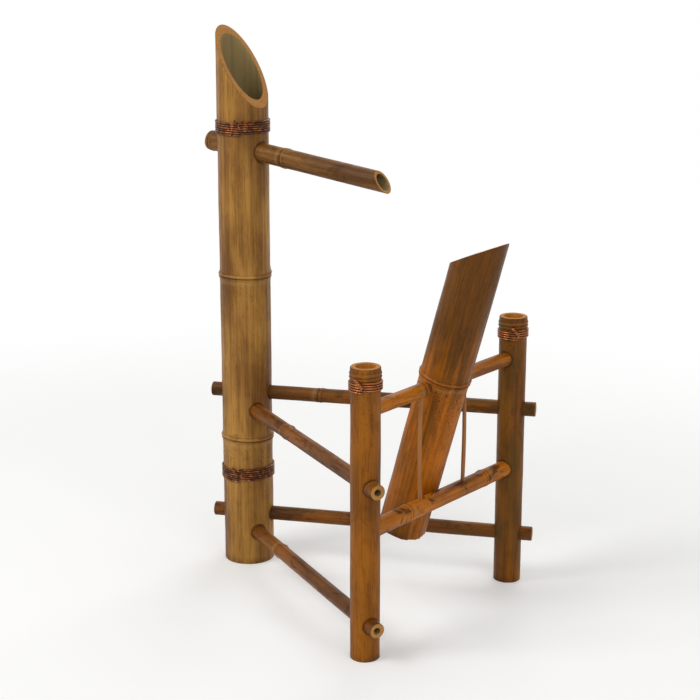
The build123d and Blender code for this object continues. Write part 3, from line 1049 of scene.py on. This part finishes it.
class SCARER_OT_tipping_tube(ScarerOperator, bpy.types.Operator):
    """Makes the tipping tube: a slanted mouth, a chamber above its node, and a fluted tail"""

    bl_idname = "scarer.tipping_tube"
    bl_label = "Tipping tube"

    def make(self, sizes, colours):
        reach = sizes.tube_mouth_reach + sizes.tube_tail_reach
        low, high = sizes.tube_tail_radius, sizes.tube_mouth_radius
        lean = tube_lean(sizes)
        along = Vector((math.sin(lean), 0, math.cos(lean)))
        front = Vector((math.cos(lean), 0, -math.sin(lean)))
        line = Line(PIVOT - along * sizes.tube_tail_reach, along, front)
        node = sizes.tube_tail_reach + sizes.tube_node
        culm = Culm(
            reach, low, high, (node,), sizes.tube_ridge, step=6 * MM, wave=0.6 * MM, knotted=False
        )
        chamber = sizes.tube_mouth_reach - sizes.tube_node - 1.5 * MM
        rows = hollow_end(culm, sizes.tube_wall, sizes.tube_recess, False, sizes.edge)
        rows += culm.side(sizes.edge * 1.6)
        rows += hollow_end(culm, sizes.tube_wall, chamber, True, sizes.edge)
        cut = slant(reach, high, sizes.tube_cut, 1.5, forward=-1)
        flutes_end = 120 * MM

        def fluted(s):
            return min(1, max(0, 1 - s / flutes_end)) ** 1.3

        piece = revolve("tipping_tube_culm", line, rows, 128, cut, fluted, culm)
        grow(piece, grown_tree(), sizes, seed=12.9, flutes=1.0)
        across = Vector((0, 1, 0))
        holes = [(PIVOT - across * low * 1.5, across, sizes.pin_hole, low * 3)]
        drill(piece, holes)
        material = bamboo(
            "tube_bamboo", **culm_colours(colours, "tube"), mottle=0.18, specks=0.85, bands=1.0,
            above=0.26,
        )
        sink = sizes.flute_noise + 0.6 * MM
        finish_culm(piece, line, culm, sizes.tube_wall, material, holes, 0.52, sink, cut)
        dress(piece, "tumbler_tube", "tube_bamboo", "tumbler")


def tube_lean(sizes):
    """How far the tube leans at rest, with its tail's side against the lower rail."""
    total = sizes.tube_mouth_reach + sizes.tube_tail_reach
    taper = (sizes.tube_tail_radius - sizes.tube_mouth_radius) / total
    at_pivot = sizes.tube_mouth_radius + taper * sizes.tube_mouth_reach
    beside = at_pivot * math.cos(math.atan(taper)) + span("lower_rail").z / 2 + sizes.tube_rest_gap
    return math.atan(taper) + math.asin(beside / (PIVOT.z - middle("lower_rail").z))


class SCARER_OT_spout(ScarerOperator, bpy.types.Operator):
    """Makes the spout: closed by a node behind the tall post and cut to a long lower lip"""

    bl_idname = "scarer.spout"
    bl_label = "Spout"

    def make(self, sizes, colours):
        line, back, front, radius = spout_line(sizes)
        reach = back + front
        culm = Culm(reach, radius, radius, (5 * MM, reach * 0.44), sizes.spout_ridge)
        rows = closed_foot(culm, sizes.edge)
        rows += hollow_end(culm, sizes.spout_wall, reach - sizes.spout_back_node, True, sizes.edge)
        cut = slant(reach, radius, sizes.spout_cut, 1.8)
        piece = revolve("spout_culm", line, rows, segments=64, cut=cut, culm=culm)
        grow(piece, grown_tree(), sizes, seed=17.2, girth=0.5)
        material = bamboo(
            "spout_bamboo", **culm_colours(colours, "spout"), mottle=0.35, specks=0.5, bands=1.2
        )
        finish_culm(piece, line, culm, sizes.spout_wall, material, offset=0.93, cut=cut)
        dress(piece, "spout", "spout_bamboo")


class SCARER_OT_sticks(ScarerOperator, bpy.types.Operator):
    """Makes the two thin sticks that prop the arms off the rail, a little bowed and uneven"""

    bl_idname = "scarer.sticks"
    bl_label = "Sticks"

    def make(self, sizes, colours):
        material = split_wood("stick_wood", colours.stick, colours.smoke)
        tree = grown_tree()
        for index, side in enumerate(SIDES):
            node = f"{side}_stick"
            low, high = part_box(node)
            radius = (high.x - low.x) / 2
            reach = high.z - low.z
            centre = middle(node)
            line = Line((centre.x, centre.y, low.z), UP, (1, 0, 0))
            culm = Culm(reach, radius, radius, step=5 * MM)
            rows = [(0.0, 0.0, 0.0), *culm.side(sizes.edge), (0.0, reach, 0.0)]
            piece = revolve(f"{side}_stick_split", line, rows, segments=20)
            grow(piece, tree, sizes, seed=21.5 + index, girth=1.1)
            mesh = piece.data
            local = line.to_local(read_vectors(mesh.vertices, "co"))
            write_attribute(mesh, "grain", "FLOAT_VECTOR", local + 0.4 * index)
            bow = sizes.stick_bow * (1 if index else -1)
            local[:, 0] += bow * np.sin(math.pi * local[:, 2] / reach)
            mesh.vertices.foreach_set("co", line.to_world(local).astype(np.float32).ravel())
            coat(mesh, material)
            smooth(mesh)
            dress(piece, node, "pale_stick")


class SCARER_OT_wires(ScarerOperator, bpy.types.Operator):
    """Winds the four binding wires, two on the tall post and one on each short post"""

    bl_idname = "scarer.wires"
    bl_label = "Binding wires"

    def make(self, sizes, colours):
        copper = wire_metal("copper_wire", colours.copper, colours.browned, 0.0)
        dark = wire_metal("browned_wire", colours.copper, colours.browned, 0.16)
        tree = wound_tree()
        tall = (sizes.tall_turns, dark, "dark_wire")
        short = (sizes.short_turns, copper, "copper_wire")
        wraps = (
            ("tall_post_upper_wrap", "tall_post_foot", tall, -52),
            ("tall_post_lower_wrap", "tall_post_foot", tall, -70),
            ("left_post_wrap", "left_post_foot", short, -62),
            ("right_post_wrap", "right_post_foot", short, -38),
        )
        for node, foot, (turns, metal, slot), facing in wraps:
            low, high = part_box(node)
            centre = FEET[foot]
            radius = (high.y - low.y) / 2 - sizes.wire_radius - sizes.wire_pull
            piece = new_object(node + "_wire", bpy.data.meshes.new(node + "_wire"))
            bake(piece, tree, {
                "Turns": float(turns), "Pitch": sizes.wire_pitch, "Coil radius": radius,
                "Wire radius": sizes.wire_radius, "Twist length": sizes.twist_length,
                "Material": metal,
            })
            height = middle(node).z - turns * sizes.wire_pitch / 2
            place = Matrix.Translation((centre.x, centre.y, height))
            piece.data.transform(place @ Matrix.Rotation(math.radians(facing), 4, "Z"))
            dress(piece, node, slot)


class SCARER_OT_hidden(ScarerOperator, bpy.types.Operator):
    """Gives the pivot pin and the feed hose their finish"""

    bl_idname = "scarer.hidden"
    bl_label = "Pin and hose"

    def make(self, sizes, colours):
        finishes = {
            "pivot_pin": plain_finish("pin_steel", colours.steel, 0.3, 0.9, 900),
            "feed_hose": plain_finish("hose_rubber", colours.rubber, 0.55, 0.0, 500),
        }
        for node, material in finishes.items():
            coat(frame["nodes"][node].data, material)


class SCARER_OT_stage(ScarerOperator, bpy.types.Operator):
    """Sets the floor, the soft lamps, the pale surroundings and the camera"""

    bl_idname = "scarer.stage"
    bl_label = "Stage"

    def make(self, sizes, colours):
        self.lay_floor(colours)
        self.light()
        self.aim()

    def lay_floor(self, colours):
        """A pale floor that keeps its shadows and fades to white further out."""
        half, glow, fade_start, fade_end = 4.0, 0.22, 0.5, 1.15
        mesh = bpy.data.meshes.new("floor")
        corners = [(-half, -half, 0), (half, -half, 0), (half, half, 0), (-half, half, 0)]
        mesh.from_pydata(corners, [], [(0, 1, 2, 3)])
        material, graph = new_material("floor")
        direct = graph.direct()
        paper = graph.add("ShaderNodeBsdfDiffuse", {}, {"Color": (*colours.floor, 1)})
        lit = graph.white("ShaderNodeEmission", direct * glow)
        both = graph.add("ShaderNodeAddShader", {}, {0: paper, 1: lit})
        away = graph.add("ShaderNodeVectorMath", {"operation": "LENGTH"}, {0: graph.place()}, "Value")
        fade = away.rises(fade_start, fade_end) * direct
        white = graph.white("ShaderNodeEmission", 1.0)
        faded = graph.add("ShaderNodeMixShader", {}, {0: fade, 1: both, 2: white})
        graph.add("ShaderNodeOutputMaterial", {}, {"Surface": faded})
        coat(mesh, material)
        new_object("floor", mesh)

    def light(self):
        """A world that looks white and lights softly, and three lamps aimed at the middle."""
        sky = 0.42
        world = bpy.data.worlds.new("studio")
        bpy.context.scene.world = world
        world.use_nodes = True
        world.node_tree.nodes.clear()
        graph = Graph(world.node_tree)
        shown = graph.white("ShaderNodeBackground", sky + graph.direct() * (1 - sky))
        graph.add("ShaderNodeOutputWorld", {}, {"Surface": shown})
        target = Vector(cad_box[0]).lerp(Vector(cad_box[1]), 0.5)
        # Name, place from the middle of the object, width and watts
        lamps = (
            ("key", (-0.9, -1.9, 1.9), 1.3, 34),
            ("fill", (2.1, -0.9, 1.1), 1.5, 13),
            ("back", (-0.6, 2.0, 1.7), 1.4, 16),
        )
        for name, offset, size, power in lamps:
            lamp = bpy.data.lights.new(name, "AREA")
            lamp.size = size
            lamp.energy = power
            holder = new_object(name, lamp)
            holder.location = target + Vector(offset)
            holder.rotation_euler = Vector(offset).to_track_quat("Z", "Y").to_euler()

    def aim(self):
        """A camera at the photograph's angle, near enough for the object's box to fill its frame."""
        azimuth, elevation = math.radians(38.5), math.radians(15)
        distance, fill, sensor = 1.75, 0.96, 36
        back = Vector((
            math.sin(azimuth) * math.cos(elevation), -math.cos(azimuth) * math.cos(elevation),
            math.sin(elevation),
        ))
        turn = back.to_track_quat("Z", "Y")
        low, high = Vector(cad_box[0]), Vector(cad_box[1])
        corners = [Vector(corner) for corner in itertools.product(*zip(low, high))]
        centre = (low + high) / 2
        seen = [turn.inverted() @ (corner - centre) for corner in corners]
        flat = [(p.x / (distance - p.z), p.y / (distance - p.z)) for p in seen]
        mid = [(min(v[k] for v in flat) + max(v[k] for v in flat)) / 2 for k in (0, 1)]
        reach = max(max(v[k] for v in flat) - min(v[k] for v in flat) for k in (0, 1))
        camera = bpy.data.cameras.new("camera")
        camera.sensor_width = camera.sensor_height = sensor
        camera.sensor_fit = "HORIZONTAL"
        camera.lens = sensor * fill / reach
        holder = new_object("camera", camera)
        shift = turn @ Vector((mid[0] * distance, mid[1] * distance, 0))
        holder.location = centre + shift + back * distance
        holder.rotation_euler = turn.to_euler()
        bpy.context.scene.camera = holder
        bpy.context.scene.view_settings.view_transform = "Standard"


# The panel and the run

STEPS = (
    SCARER_OT_stage, SCARER_OT_tall_post, SCARER_OT_short_posts, SCARER_OT_cross_poles,
    SCARER_OT_rails, SCARER_OT_tipping_tube, SCARER_OT_spout, SCARER_OT_sticks,
    SCARER_OT_wires, SCARER_OT_hidden,
)


class SCARER_PT_panel(bpy.types.Panel):
    """Lists the steps that make the deer scarer"""

    bl_label = "Deer scarer"
    bl_idname = "SCARER_PT_panel"
    bl_space_type = "VIEW_3D"
    bl_region_type = "UI"
    bl_category = "Scarer"

    def draw(self, context):
        for step in STEPS:
            self.layout.operator(step.bl_idname)


CLASSES = (ScarerSizes, ScarerColours, *STEPS, SCARER_PT_panel)


def register():
    for each in CLASSES:
        bpy.utils.register_class(each)
    bpy.types.Scene.scarer_sizes = PointerProperty(type=ScarerSizes)
    bpy.types.Scene.scarer_colours = PointerProperty(type=ScarerColours)


def unregister():
    del bpy.types.Scene.scarer_colours
    del bpy.types.Scene.scarer_sizes
    for each in reversed(CLASSES):
        bpy.utils.unregister_class(each)


def main():
    register()
    for step in STEPS:
        group, name = step.bl_idname.split(".")
        getattr(getattr(bpy.ops, group), name)()


if __name__ == "__main__":
    main()
